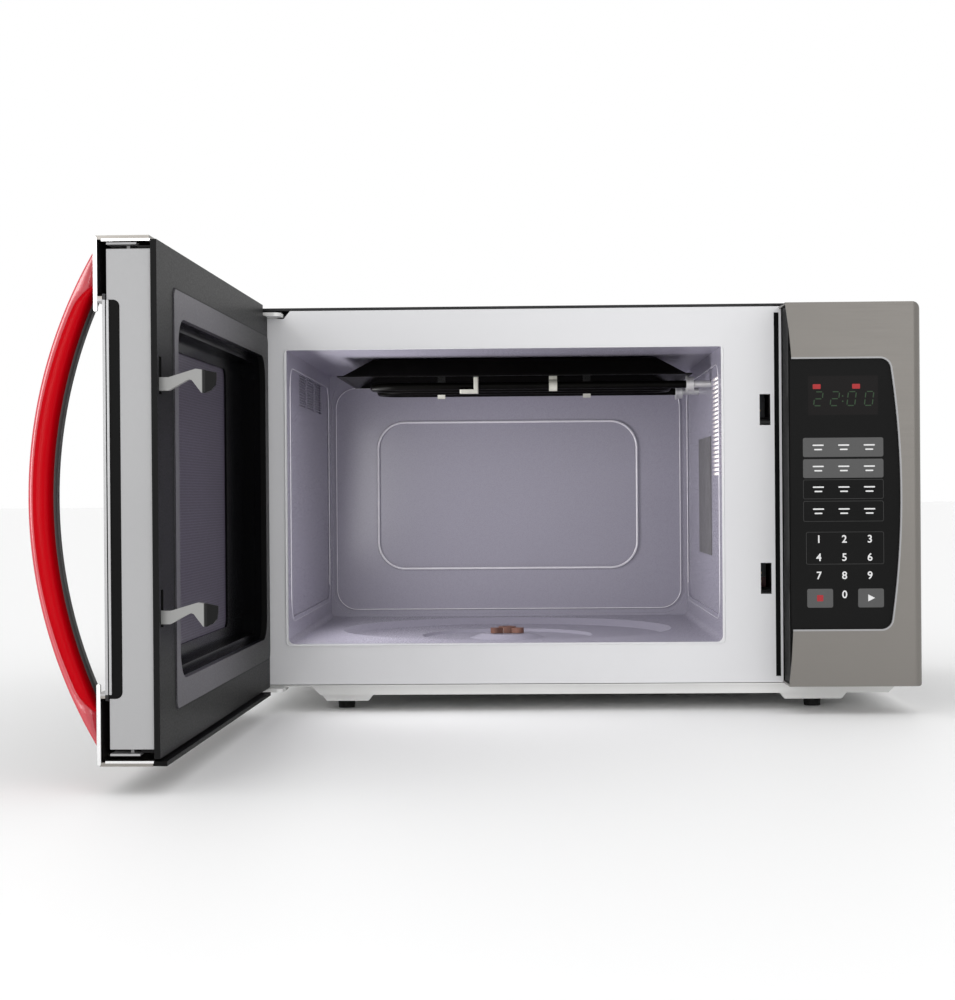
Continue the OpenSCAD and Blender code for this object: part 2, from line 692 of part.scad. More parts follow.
// a pan head with a cross recess, its face towards +Y
module screw_head() difference() {
    cyl_y(4, 0, 2.4);
    for (a = [0, 90]) rotate([0, a, 0]) box([-2.4, 1.2, -0.5], [2.4, 3, 0.5]);
}

back_screws = [
    [-195, 140], [-60, 143], [100, 143], [318, 140],
    [-195, -140], [-40, -145], [140, -145], [318, -60]];
module case_screws() color("dimgray") in_body() {
    for (p = back_screws) translate([p[0], body_d, p[1]]) screw_head();
    for (z = [-130, 130]) {
        translate([-case_left, 376, z]) rotate(90) screw_head();
        translate([case_right, 376, z]) rotate(-90) screw_head();
    }
}

// ---------------------------------------------------------------- door

// the hinge side's inner corner is rounded about the pins, and the brackets get room to turn
module hinge_corner_cut() difference() {
    box([door_l - e, hinge_y, -170], [hinge_x, 5, 170]);
    translate([hinge_x, hinge_y, 0]) cyl_z(pin_side, -171, 171);
}
module bracket_room() translate([hinge_x, hinge_y, 0]) {
    cyl_z(clear_r, top_hinge_z - 0.6, 170);
    cyl_z(clear_r, -170, -154.2);
}

// the window's outline: straight at the free edge, bowed at the hinge side
module door_window(grow) offset(r = 10 + grow) offset(delta = -10) intersection() {
    translate([door_l + 12, win_b]) square([door_w + 40, win_t - win_b]);
    translate([door_l + 15.7 + panel_bow_r, (win_t + win_b) / 2]) circle(panel_bow_r, $fn = 720);
}

module door_front_panel() color([0.6, 0.58, 0.55]) in_door() difference() {
    union() {
        xz(ty(door_t), ty(door_t - skin)) round_rect([door_l, door_zb], [door_r, door_zt], 3);
        // edges folded back over the top, the bottom and the hinge side
        box([door_l + 2, ty(door_t - 1), door_zt - fold_t], [door_r, ty(5), door_zt]);
        box([door_l + 2, ty(door_t - 1), door_zb], [door_r, ty(5), door_zb + fold_t]);
        box([door_l, ty(door_t - 1), -145], [door_l + 1.3, ty(5), 145]);
        // lip round the window
        xz(ty(door_t - 0.5), ty(glass_t[1])) intersection() {
            difference() {
                door_window(1.5);
                door_window(0);
            }
            translate([door_l, -150]) square([door_w, 300]);
        }
    }
    xz(ty(door_t + e), ty(door_t - skin - 0.1)) door_window(0);
    translate([hinge_x, hinge_y, 0]) cyl_z(clear_r, -170, -154.2);
    hinge_corner_cut();
}

module door_window_glass() color([0.03, 0.03, 0.03, 0.9]) in_door()
    box([door_l + 11, ty(glass_t[1]), win_b - 3], [door_r - 0.6, ty(glass_t[0]), win_t + 3]);

module door_glass_carrier() color([0.05, 0.05, 0.05]) in_door() difference() {
    yz(door_l + 2, door_r - 1.2) {
        translate([ty(glass_t[0]), -118]) square([4.1, 236]);
        translate([ty(glass_t[0]), -114]) square([8.1, 228]);
        for (z = [-114, 114]) translate([ty(glass_t[0]) + 4.1, z]) circle(4);
    }
    box([recess_x[0] - 4, ty(glass_t[0]) - e, -108], [recess_x[1] + 4, ty(frame_t[1] - 1), 108]);
}

module door_glass_trim() color("gainsboro") in_door() difference() {
    xz(ty(door_t + 0.3), ty(glass_t[1])) intersection() {
        door_window(0);
        translate([door_l, -150]) square([door_w, 300]);
    }
    xz(ty(door_t + e), ty(glass_t[1] - e)) door_window(-1.3);
}

module door_frame() color([0.7, 0.7, 0.7]) in_door() difference() {
    union() {
        box([door_l + 1.5, ty(frame_t[1]), -148.5], [door_r - 1.5, ty(frame_t[0]), 148.5]);
        // the frame is thicker behind the steel bands
        for (s = [0, 1]) mirror([0, 0, s]) yz(door_l + 1.5, door_r - 1.5) {
            translate([ty(beam_t), 118.5]) square([beam_t - frame_t[1] + 1, 30]);
            // the step between the two thicknesses is rounded
            translate([ty(frame_t[1]) - 4, 114.5]) difference() {
                square([4.5, 4.5]);
                circle(4);
            }
        }
        // flanges above and below, on webs set back from the free edge
        for (s = [0, 1]) mirror([0, 0, s]) {
            box([door_l + 2, ty(beam_t), 151.2], [door_r - 1.5, ty(13), 152.4]);
            box([door_l + 2, ty(20), 148], [door_r - 8, ty(18), 151.5]);
        }
    }
    box([recess_x[0] - 6, -60, -119], [recess_x[1] + 6, 5, 119]);
    bracket_room();
    hinge_corner_cut();
    // bores for the hinge pins, and the latch bar's channel
    translate([hinge_x, hinge_y, 0]) cyl_z(pin_r + run, 136.5, 150);
    translate([hinge_x, hinge_y, 0]) cyl_z(pin_r + run, -150, -142.5);
    box([hook_x - 3.5, ty(17), -90], [hook_x + 3.5, e, 97]);
}

module door_choke_cover() color([0.13, 0.13, 0.13]) in_door() difference() {
    union() {
        box([door_l, ty(4.3), -cover_z], [door_r, ty(0.6), cover_z]);
        // edges that wrap the frame above and below
        box([door_l + 2, ty(12), 149], [door_r - 1, ty(4.3), 150.4]);
        box([door_l + 2, ty(12), -150.4], [door_r - 1, ty(4.3), -149]);
    }
    xz(ty(13), 1) round_rect([seal_x[0] - 0.2, -seal_z - 0.2], [seal_x[1] + 0.2, seal_z + 0.2], 7);
    bracket_room();
    hinge_corner_cut();
    translate([hinge_x, hinge_y, 0]) cyl_z(pin_r + 0.6, -156, -148);
    for (z = hook_z) box([hook_x - 3.5, ty(5), z - 7.5], [hook_x + 3.5, e, z + 12 + latch_travel]);
}

// a plastic strip along the door's foot that reaches under the front plate
module door_bottom_strip() color([0.05, 0.05, 0.05]) in_door() difference() {
    box([door_l + 4, ty(5), door_zb + 0.2], [door_r - 0.3, ty(-3.4), door_zb + 3]);
    translate([hinge_x, hinge_y, 0]) cyl_z(clear_r + 2, -170, -150);
}

module door_inner_frame() color([0.5, 0.5, 0.52]) in_door() difference() {
    xz(ty(4.3), ty(0)) round_rect([seal_x[0], -seal_z], [seal_x[1], seal_z], 7);
    xz(ty(5), ty(-1)) round_rect([recess_x[0], -recess_z], [recess_x[1], recess_z], 18);
}

module door_recess_liner() color([0.04, 0.04, 0.04]) in_door() difference() {
    xz(ty(19.5), ty(4.4)) round_rect([recess_x[0] - 4, -117], [recess_x[1] + 4, 117], 20);
    xz(ty(9), 1) round_rect([recess_x[0], -recess_z], [recess_x[1], recess_z], 18);
    xz(ty(18), 1) round_rect([recess_x[0] + 5, -recess_z + 5], [recess_x[1] - 5, recess_z - 5], 14);
    xz(ty(21), 1) round_rect([screen_x[0], -screen_z], [screen_x[1], screen_z], 8);
}

module door_screen() color([0.25, 0.23, 0.28]) in_door()
    box([screen_x[0] - 8, ty(20.3), -screen_z - 8], [screen_x[1] + 8, ty(19.5), screen_z + 8]);

// ---------------------------------------------------------------- handle

// a bow drawn in the plane of its stand-off (first axis, from the door's face) and height
handle_x = door_r - 9 - handle_w;
outer_r = 291.4;
inner_out = 30.6;                        // the grip's inner side, off the door's face
inner_r = 288.5;
module bow(out, r) intersection() {
    translate([out - r, 0]) circle(r, $fn = 360);
    translate([0, -152]) square([handle_out + 5, 304]);
}

module handle_shape(x0, x1)
    translate([0, ty(door_t), 0]) yz(x0, x1) mirror([1, 0]) children();

module handle_grip() color([0.75, 0.02, 0.08]) in_door()
    handle_shape(handle_x, handle_x + handle_w) difference() {
        bow(handle_out, outer_r);
        bow(inner_out, inner_r);
    }

module handle_liner() color("slategray") in_door()
    handle_shape(handle_x + 5, handle_x + handle_w - 5) difference() {
        bow(inner_out, inner_r);
        bow(inner_out - 1.2, inner_r + 2.7);
    }

// ---------------------------------------------------------------- latch

// side view of a hook: distance out of the door, and height about its own centre
hook_pts = [
    [-8, -5.5], [4.75, -5.5], [16, 0.6], [17.3, 1], [18.8, 0.5], [24.5, -7.1], [26.7, -7.1], [30, -5.5],
    [32.5, -2.5], [hook_out, 2], [hook_out, 5], [26.7, 6.5], [21.1, 7.3], [4.75, 2.4], [-8, 2.4]
];

module latch_bar() color([0.66, 0.66, 0.66]) in_door() {
    box([hook_x - hook_w / 2, ty(16), bar_z[0]], [hook_x + hook_w / 2, ty(6), bar_z[1]]);
    for (z = hook_z) difference() {
        translate([0, -gap, z]) yz(hook_x - hook_w / 2, hook_x + hook_w / 2) polygon(hook_pts);
        // the nose is cut back on the side away from the hinge
        translate([hook_x + hook_w / 2, -gap + 26.7, z - 10]) rotate(28) box([0, 0, 0], [8, 14, 20]);
    }
}

// a coil of wire swept round the latch bar's axis, 8 flats to the wire
spring_n = 5;
spring_r = 2.6;
wire_r = 0.45;
ring_count = 14 * spring_n;
function coil_point(i, k) = let (a = i * 360 / 14, b = k * 60)
    [(spring_r + wire_r * cos(b)) * cos(a), (spring_r + wire_r * cos(b)) * sin(a),
     i * 10.4 / ring_count + wire_r * sin(b)];

module latch_spring() color("silver") in_door() translate([hook_x, ty(11), bar_z[1] + 0.6]) polyhedron(
    points = [for (i = [0 : ring_count], k = [0 : 5]) coil_point(i, k)],
    faces = concat(
        [[0, 1, 2, 3, 4, 5]],
        [for (i = [0 : ring_count - 1], k = [0 : 5])
            [i * 6 + k, (i + 1) * 6 + k, (i + 1) * 6 + (k + 1) % 6, i * 6 + (k + 1) % 6]],
        [[for (k = [5 : -1 : 0]) ring_count * 6 + k]]));

// ---------------------------------------------------------------- nodes

front_plate();
cavity_liner();
outer_case();
base_plate();
back_panel();
rubber_feet();
upper_hinge_bracket();
lower_hinge_bracket();
control_fascia();
control_housing();
fascia_trim();
membrane_keypad();
display_window();
control_board();
display_module();
board_parts();
interlock_bracket();
primary_switch();
secondary_switch();
monitor_switch();
primary_plunger();
secondary_plunger();
monitor_plunger();
magnetron();
waveguide();
waveguide_cover();
hv_transformer_core();
hv_transformer_windings();
hv_capacitor();
capacitor_clamp();
hv_diode();
fan_shroud();
fan_motor();
fan_blade();
turntable_motor();
turntable_coupling();
lamp_housing();
oven_lamp();
thermal_cutouts();
mains_filter();
grill_reflector();
grill_heater();
heater_clips();
heater_terminals();
cord_bushing();
case_screws();
door_front_panel();
door_window_glass();
door_glass_carrier();
door_glass_trim();
door_frame();
door_choke_cover();
door_bottom_strip();
door_inner_frame();
door_recess_liner();
door_screen();
handle_grip();
handle_liner();
latch_bar();
latch_spring();
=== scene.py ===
"""Looks of the countertop microwave oven: finishes, keypad print, handle, seals, light and camera."""

import math

import bmesh
import bpy
from mathutils import Matrix, Vector


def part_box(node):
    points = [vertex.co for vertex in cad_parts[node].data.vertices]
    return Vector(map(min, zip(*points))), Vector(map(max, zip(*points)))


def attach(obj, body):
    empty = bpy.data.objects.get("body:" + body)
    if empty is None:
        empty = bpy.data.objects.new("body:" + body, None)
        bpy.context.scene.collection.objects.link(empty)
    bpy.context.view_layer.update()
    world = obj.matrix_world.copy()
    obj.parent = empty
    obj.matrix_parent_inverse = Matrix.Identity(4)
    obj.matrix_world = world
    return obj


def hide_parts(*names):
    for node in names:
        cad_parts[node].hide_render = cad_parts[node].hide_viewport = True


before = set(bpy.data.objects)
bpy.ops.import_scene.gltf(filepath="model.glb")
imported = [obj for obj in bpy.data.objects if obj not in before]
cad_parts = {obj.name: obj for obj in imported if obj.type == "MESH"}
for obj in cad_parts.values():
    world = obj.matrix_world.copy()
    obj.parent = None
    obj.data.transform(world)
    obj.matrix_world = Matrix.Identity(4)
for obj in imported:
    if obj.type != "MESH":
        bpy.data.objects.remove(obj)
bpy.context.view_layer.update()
MM = 0.001

# ---------------------------------------------------------------- places worked out from the frame

liner_lo, liner_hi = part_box("cavity_liner")
plate_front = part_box("front_plate")[0][1]
ROOF = 121.2                  # outside of the cavity's roof, above the middle of its mouth
ORIGIN = Vector(((liner_lo[0] + liner_hi[0]) / 2, plate_front, liner_hi[2] - ROOF * MM))
DOOR_OPEN = math.radians(91.2)
HINGE = Vector((-200.4, -10.8, 0))
DOOR_RIGHT = 219.6            # free edge of the shut door
DOOR_GAP = 0.8                # shut door's inner face to the front plate
DOOR_THICK = 38.0


def at(x, y, z):
    """A point given in millimetres from the middle of the cavity mouth."""
    return ORIGIN + Vector((x, y, z)) * MM


def on_door(x, depth, z):
    """A point given on the shut door: depth in front of its inner face, swung open to the rest pose."""
    arm = Vector((x - HINGE.x, -DOOR_GAP - depth - HINGE.y, z))
    return at(*(Matrix.Rotation(-DOOR_OPEN, 3, "Z") @ arm + HINGE))


# ---------------------------------------------------------------- finishes


def add_node(tree, kind, **values):
    """A shader node with its plain properties set."""
    node = tree.nodes.new(kind)
    for key, value in values.items():
        setattr(node, key, value)
    return node


def noise_of(tree, scale, stretch=(1, 1, 1), detail=2.0):
    """Noise in the object's own coordinates; returns its 0 to 1 output."""
    coords = add_node(tree, "ShaderNodeTexCoord")
    mapping = add_node(tree, "ShaderNodeMapping")
    mapping.inputs["Scale"].default_value = stretch
    noise = add_node(tree, "ShaderNodeTexNoise")
    noise.inputs["Scale"].default_value = scale
    noise.inputs["Detail"].default_value = detail
    tree.links.new(coords.outputs["Object"], mapping.inputs["Vector"])
    tree.links.new(mapping.outputs["Vector"], noise.inputs["Vector"])
    return noise.outputs["Fac"]


def spread(tree, source, low, high):
    """Maps noise, which lies mostly between 0.3 and 0.7, to low to high."""
    node = add_node(tree, "ShaderNodeMapRange")
    node.inputs["From Min"].default_value = 0.3
    node.inputs["From Max"].default_value = 0.7
    node.inputs["To Min"].default_value = low
    node.inputs["To Max"].default_value = high
    tree.links.new(source, node.inputs["Value"])
    return node.outputs["Result"]


def mix_colours(tree, factor, first, second):
    """Blends two colours by factor; either may be a socket."""
    node = add_node(tree, "ShaderNodeMix", data_type="RGBA")
    tree.links.new(factor, node.inputs["Factor"])
    for key, value in (("A", first), ("B", second)):
        socket = next(s for s in node.inputs if s.name == key and s.type == "RGBA")
        if isinstance(value, bpy.types.NodeSocket):
            tree.links.new(value, socket)
        else:
            socket.default_value = (*value, 1)
    return next(s for s in node.outputs if s.type == "RGBA")


def finish(name, colour, roughness, metallic=0.0, mottle=0.05, cloud=9.0, grain=1500.0, bump=0.03,
           stretch=(1, 1, 1), **constants):
    """A Principled surface: colour clouded by noise, roughness varied, and a fine grain as bump."""
    mat = bpy.data.materials.new(name)
    mat.use_nodes = True
    tree = mat.node_tree
    shader = tree.nodes["Principled BSDF"]
    shader.inputs["Metallic"].default_value = metallic
    for key, value in constants.items():
        shader.inputs[key.replace("_", " ")].default_value = value
    soft = noise_of(tree, cloud, detail=3.0)
    fine = noise_of(tree, grain, stretch, detail=2.0)
    dark = [c * (1 - mottle) for c in colour]
    light = [min(1.0, c * (1 + mottle)) for c in colour]
    tint = mix_colours(tree, spread(tree, soft, 0, 1), dark, light)
    tree.links.new(tint, shader.inputs["Base Color"])
    rough = spread(tree, fine, max(0.02, roughness * 0.85), min(1.0, roughness * 1.15))
    tree.links.new(rough, shader.inputs["Roughness"])
    relief = add_node(tree, "ShaderNodeBump")
    relief.inputs["Strength"].default_value = bump
    relief.inputs["Distance"].default_value = 0.0002
    tree.links.new(fine, relief.inputs["Height"])
    tree.links.new(relief.outputs["Normal"], shader.inputs["Normal"])
    return mat


def glow(name, colour, strength):
    """A lit surface, a little uneven."""
    mat = finish(name, [c * 0.5 for c in colour], 0.4)
    shader = mat.node_tree.nodes["Principled BSDF"]
    shader.inputs["Emission Color"].default_value = (*colour, 1)
    shader.inputs["Emission Strength"].default_value = strength
    return mat


def perforated(name, metal, dark, pitch, hole):
    """Sheet metal with staggered round holes, darker where a hole is. Works in the sheet's plane."""
    mat = finish(name, metal, 0.42, 0.3)
    tree = mat.node_tree
    shader = tree.nodes["Principled BSDF"]
    coords = add_node(tree, "ShaderNodeTexCoord")
    split = add_node(tree, "ShaderNodeSeparateXYZ")
    tree.links.new(coords.outputs["Object"], split.inputs["Vector"])

    def math_node(operation, first, second=0.0):
        node = add_node(tree, "ShaderNodeMath", operation=operation)
        for socket, value in zip(node.inputs, (first, second)):
            if isinstance(value, bpy.types.NodeSocket):
                tree.links.new(value, socket)
            else:
                socket.default_value = value
        return node.outputs["Value"]

    row_pitch = pitch * math.sqrt(3) / 2
    row = math_node("FLOOR", math_node("DIVIDE", split.outputs["Z"], row_pitch))
    shift = math_node("MULTIPLY", math_node("MODULO", row, 2.0), 0.5)
    u = math_node("ADD", math_node("DIVIDE", split.outputs["Y"], pitch), shift)
    u = math_node("SUBTRACT", math_node("FRACT", u), 0.5)
    v = math_node("SUBTRACT", math_node("FRACT", math_node("DIVIDE", split.outputs["Z"], row_pitch)), 0.5)
    u = math_node("MULTIPLY", u, pitch)
    v = math_node("MULTIPLY", v, row_pitch)
    far = math_node("SQRT", math_node("ADD", math_node("POWER", u, 2.0), math_node("POWER", v, 2.0)))
    inside = math_node("LESS_THAN", far, hole / 2)
    tint = mix_colours(tree, inside, shader.inputs["Base Color"].links[0].from_socket, dark)
    tree.links.new(tint, shader.inputs["Base Color"])
    return mat


def shade(mat, axis, start, end, colour):
    """Turns a finish towards another colour along an axis, between start and end."""
    tree = mat.node_tree
    shader = tree.nodes["Principled BSDF"]
    coords = add_node(tree, "ShaderNodeTexCoord")
    split = add_node(tree, "ShaderNodeSeparateXYZ")
    tree.links.new(coords.outputs["Object"], split.inputs["Vector"])
    ramp = add_node(tree, "ShaderNodeMapRange", interpolation_type="SMOOTHSTEP")
    ramp.inputs["From Min"].default_value = start
    ramp.inputs["From Max"].default_value = end
    tree.links.new(split.outputs[axis], ramp.inputs["Value"])
    plain = shader.inputs["Base Color"].links[0].from_socket
    tint = mix_colours(tree, ramp.outputs["Result"], plain, colour)
    tree.links.new(tint, shader.inputs["Base Color"])


white_enamel = finish("white_enamel", (0.70, 0.70, 0.715), 0.2, mottle=0.01, grain=1600, bump=0.01,
                      Coat_Weight=0.5, Coat_Roughness=0.08)
lilac_enamel = finish("lilac_enamel", (0.37, 0.352, 0.425), 0.28, mottle=0.015, grain=1600, bump=0.01,
                      Coat_Weight=0.2, Coat_Roughness=0.2)
# pale copy of the cavity enamel, used as painted highlight along the embossed edges
lilac_painted_highlight = finish("lilac_painted_highlight", (0.92, 0.90, 0.94), 0.25, mottle=0.02, bump=0.0, Coat_Weight=0.6)
steel = finish("brushed_steel", (0.205, 0.194, 0.180), 0.34, 1.0, mottle=0.03, cloud=5, grain=500,
               bump=0.02, stretch=(0.06, 0.06, 6))
zinc = finish("zinc_steel", (0.72, 0.72, 0.71), 0.42, 0.5, mottle=0.08, grain=700)
bright = finish("bright_trim", (0.72, 0.72, 0.72), 0.16, 1.0, mottle=0.02)
satin = finish("satin_trim", (0.33, 0.33, 0.335), 0.35, 0.25, mottle=0.03)
case_black = finish("case_black", (0.010, 0.010, 0.011), 0.42, mottle=0.15, grain=1200, bump=0.25,
                    Specular_IOR_Level=0.3)
black_plastic = finish("black_plastic", (0.003, 0.003, 0.003), 0.45, mottle=0.2, grain=1400, bump=0.15,
                       Specular_IOR_Level=0.06)
keypad_black = finish("keypad_black", (0.007, 0.007, 0.007), 0.5, mottle=0.1, grain=1600, bump=0.06,
                      Specular_IOR_Level=0.08)
window_black = finish("window_black", (0.004, 0.004, 0.005), 0.06, mottle=0.05, bump=0.0,
                      Specular_IOR_Level=0.35)
lens = finish("display_lens", (0.010, 0.009, 0.009), 0.3, mottle=0.05, bump=0.0, Specular_IOR_Level=0.08)
door_grey = finish("door_grey", (0.32, 0.32, 0.325), 0.45, 0.0, mottle=0.02, grain=900, bump=0.05)
cover_dark = finish("cover_dark", (0.010, 0.010, 0.010), 0.35, mottle=0.08, grain=900, bump=0.04,
                    Specular_IOR_Level=0.03)
inner_grey = finish("inner_grey", (0.10, 0.096, 0.108), 0.35, 0.0, mottle=0.02, grain=900, bump=0.03,
                    Specular_IOR_Level=0.05)
liner_black = finish("liner_black", (0.003, 0.003, 0.0035), 0.2, mottle=0.1, bump=0.02,
                     Specular_IOR_Level=0.02)
latch_grey = finish("latch_grey", (0.26, 0.26, 0.255), 0.4, mottle=0.04, grain=900, bump=0.04,
                    Specular_IOR_Level=0.2)
rubber = finish("rubber", (0.010, 0.010, 0.010), 0.75, mottle=0.2, grain=900, bump=0.3,
                Specular_IOR_Level=0.2)
mica = finish("mica", (0.16, 0.155, 0.16), 0.55, mottle=0.12, cloud=60, grain=600, bump=0.2)
board = finish("board", (0.02, 0.13, 0.05), 0.35, mottle=0.25, cloud=160, grain=900)
moulded = finish("moulded", (0.03, 0.033, 0.04), 0.4, mottle=0.1, grain=1100, bump=0.1)
moulded_red = finish("moulded_red", (0.10, 0.008, 0.008), 0.4, mottle=0.1, grain=1100, bump=0.1)
moulded_tan = finish("moulded_tan", (0.45, 0.32, 0.14), 0.45, mottle=0.1, grain=1100, bump=0.1)
moulded_white = finish("moulded_white", (0.62, 0.60, 0.54), 0.4, mottle=0.04, grain=1100, bump=0.08)
moulded_black = finish("moulded_black", (0.012, 0.012, 0.012), 0.4, mottle=0.1, grain=1100, bump=0.1,
                       Specular_IOR_Level=0.2)
core = finish("core", (0.08, 0.08, 0.085), 0.45, 0.6, mottle=0.2, grain=1200, stretch=(0.1, 1, 1))
copper = finish("copper", (0.62, 0.27, 0.11), 0.3, 0.8, mottle=0.12, grain=900, stretch=(0.2, 0.2, 3))
can = finish("can", (0.60, 0.60, 0.61), 0.3, 1.0, mottle=0.04, grain=800)
burnt = finish("burnt", (0.002, 0.0018, 0.0015), 0.35, mottle=0.3, cloud=50, grain=700, bump=0.1,
               Specular_IOR_Level=0.05)
clip_glaze = finish("clip_glaze", (0.55, 0.54, 0.48), 0.3, mottle=0.08, cloud=120)
brown = finish("brown", (0.16, 0.072, 0.05), 0.36, mottle=0.15, cloud=60, grain=900, bump=0.1)
lamp_glass = finish("lamp_glass", (0.9, 0.85, 0.7), 0.08, mottle=0.02, bump=0.0, Alpha=0.6, IOR=1.5)
# the skin's red is a paler, pinker copy of the grip's: painted sheen on its flat sides, over a real glossy
# coat
red_gloss = finish("red_gloss", (0.50, 0.012, 0.028), 0.2, mottle=0.02, bump=0.0,
                   Coat_Weight=1.0, Coat_Roughness=0.1, Coat_IOR=1.6)
red_grip = finish("red_grip", (0.42, 0.0, 0.004), 0.3, mottle=0.02, bump=0.0, Specular_IOR_Level=0.02,
                  Coat_Weight=0.05, Coat_Roughness=0.12)
handle_grey = finish("handle_grey", (0.10, 0.09, 0.09), 0.4, mottle=0.05, bump=0.03, Specular_IOR_Level=0.2)
screen = perforated("screen", (0.075, 0.062, 0.095), (0.012, 0.009, 0.018), 2.2 * MM, 1.5 * MM)
key_grey = finish("key_grey", (0.095, 0.095, 0.095), 0.45, mottle=0.04, grain=1500, bump=0.04,
                  Specular_IOR_Level=0.1)
key_line = finish("key_line", (0.05, 0.05, 0.05), 0.45, mottle=0.04, Specular_IOR_Level=0.1)
print_white = finish("print_white", (0.72, 0.72, 0.72), 0.5, mottle=0.03)
print_red = finish("print_red", (0.33, 0.005, 0.012), 0.5, mottle=0.05)
lamp_white = glow("lamp_white", (1.0, 0.93, 0.90), 1.1)
led_red = glow("led_red", (0.30, 0.0, 0.002), 0.7)
led_green = glow("led_green", (0.001, 0.03, 0.001), 0.6)

# painted shade makes the hooks' noses black and darkens the door's inside towards the hinge; the clips'
# stems turn black above
shade(latch_grey, "X", ORIGIN.x - 0.1745, ORIGIN.x - 0.1738, (0.001, 0.001, 0.001))
shade(clip_glaze, "Z", ORIGIN.z + 0.1030, ORIGIN.z + 0.1036, (0.01, 0.01, 0.01))
# painted shade: the choke cover and the inner frame darken towards the hinge
shade(cover_dark, "Y", ORIGIN.y - 0.33, ORIGIN.y - 0.06, (0.002, 0.002, 0.002))
shade(inner_grey, "Y", ORIGIN.y - 0.30, ORIGIN.y - 0.05, (0.006, 0.006, 0.006))

NODE_FINISH = {
    white_enamel: ["front_plate"],
    lilac_enamel: ["cavity_liner"],
    case_black: ["outer_case", "back_panel"],
    zinc: ["base_plate", "upper_hinge_bracket", "lower_hinge_bracket", "waveguide", "capacitor_clamp",
           "turntable_motor", "lamp_housing", "heater_terminals", "case_screws", "latch_spring"],
    rubber: ["rubber_feet"],
    steel: ["control_fascia", "door_front_panel"],
    black_plastic: ["control_housing", "door_glass_carrier", "door_bottom_strip", "cord_bushing"],
    satin: ["fascia_trim", "door_glass_trim"],
    keypad_black: ["membrane_keypad"],
    lens: ["display_window"],
    board: ["control_board", "mains_filter"],
    moulded: ["board_parts", "primary_switch", "secondary_switch", "hv_diode", "fan_shroud",
              "thermal_cutouts"],
    moulded_red: ["monitor_switch"],
    moulded_tan: ["primary_plunger", "secondary_plunger", "monitor_plunger"],
    moulded_white: ["display_module", "fan_blade"],
    moulded_black: ["interlock_bracket"],
    can: ["magnetron", "hv_capacitor"],
    clip_glaze: ["heater_clips"],
    mica: ["waveguide_cover"],
    core: ["hv_transformer_core", "fan_motor"],
    copper: ["hv_transformer_windings"],
    brown: ["turntable_coupling"],
    lamp_glass: ["oven_lamp"],
    burnt: ["grill_reflector", "grill_heater"],
    window_black: ["door_window_glass"],
    door_grey: ["door_frame"],
    cover_dark: ["door_choke_cover"],
    inner_grey: ["door_inner_frame"],
    liner_black: ["door_recess_liner"],
    screen: ["door_screen"],
    latch_grey: ["latch_bar"],
}
# width of the rounding on each node's sharp edges, in millimetres
BEVELS = {
    0.5: ["front_plate", "cavity_liner", "base_plate", "door_inner_frame", "outer_case", "back_panel"],
    0.8: ["control_fascia", "door_front_panel", "door_choke_cover", "door_recess_liner", "rubber_feet"],
    0.4: ["door_frame", "control_housing", "membrane_keypad", "latch_bar", "turntable_coupling",
          "upper_hinge_bracket", "lower_hinge_bracket", "grill_reflector", "door_glass_carrier",
          "cord_bushing", "heater_clips", "case_screws", "lamp_housing", "magnetron"],
}


SHARP = math.radians(35)      # edges that turn by more than this are rounded


def round_edges(obj, width):
    """Rounds the sharp edges so that they catch the light."""
    bevel = obj.modifiers.new("edge", "BEVEL")
    bevel.width = width * MM
    bevel.segments = 2
    bevel.limit_method = "ANGLE"
    bevel.angle_limit = SHARP
    bevel.harden_normals = False


for mat, names in NODE_FINISH.items():
    for name in names:
        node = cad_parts[name]
        for i in range(len(node.material_slots)):
            node.material_slots[i].material = mat
for width, names in BEVELS.items():
    for name in names:
        round_edges(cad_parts[name], width)

# ---------------------------------------------------------------- pieces built here


def piece(name, points, faces, mat, body, smooth=False, edge=0.0):
    """A mesh piece that rides on a CAD body."""
    mesh = bpy.data.meshes.new(name)
    mesh.from_pydata([tuple(p) for p in points], [], faces)
    mesh.validate()
    mesh.update()
    obj = bpy.data.objects.new(name, mesh)
    bpy.context.collection.objects.link(obj)
    mesh.materials.append(mat)
    if smooth:
        mesh.polygons.foreach_set("use_smooth", [True] * len(mesh.polygons))
    if edge:
        round_edges(obj, edge)
    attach(obj, body)
    return obj


def slab(name, outline, low, high, place, mat, body, edge=0.0):
    """An outline of (a, b) points made solid from low to high; place(a, h, b) gives the point."""
    count = len(outline)
    points = [place(a, h, b) for h in (low, high) for a, b in outline]
    faces = [list(range(count))[::-1], list(range(count, 2 * count))]
    for i in range(count):
        j = (i + 1) % count
        faces.append([i, j, count + j, count + i])
    fix_normals(piece(name, points, faces, mat, body, edge=edge))


def fix_normals(obj):
    """Turns every face outwards."""
    bm = bmesh.new()
    bm.from_mesh(obj.data)
    bmesh.ops.recalc_face_normals(bm, faces=bm.faces)
    bm.to_mesh(obj.data)
    bm.free()


def rounded(a0, a1, b0, b1, radius, steps=6):
    """Points of a rectangle with round corners."""
    corners = [(a1 - radius, b0 + radius, -90), (a1 - radius, b1 - radius, 0),
               (a0 + radius, b1 - radius, 90), (a0 + radius, b0 + radius, 180)]
    points = []
    for a, b, start in corners:
        for i in range(steps + 1):
            angle = math.radians(start + 90 * i / steps)
            points.append((a + radius * math.cos(angle), b + radius * math.sin(angle)))
    return points


def ring(name, outer, inner, low, high, place, mat, body):
    """The band between two outlines with the same number of points."""
    count = len(outer)
    points = [place(a, h, b) for h in (low, high) for line in (outer, inner) for a, b in line]
    faces = []
    for i in range(count):
        j = (i + 1) % count
        faces += [
            [i, j, count + j, count + i],
            [2 * count + i, 3 * count + i, 3 * count + j, 2 * count + j],
            [i, 2 * count + i, 2 * count + j, j],
            [count + i, count + j, 3 * count + j, 3 * count + i],
        ]
    fix_normals(piece(name, points, faces, mat, body))


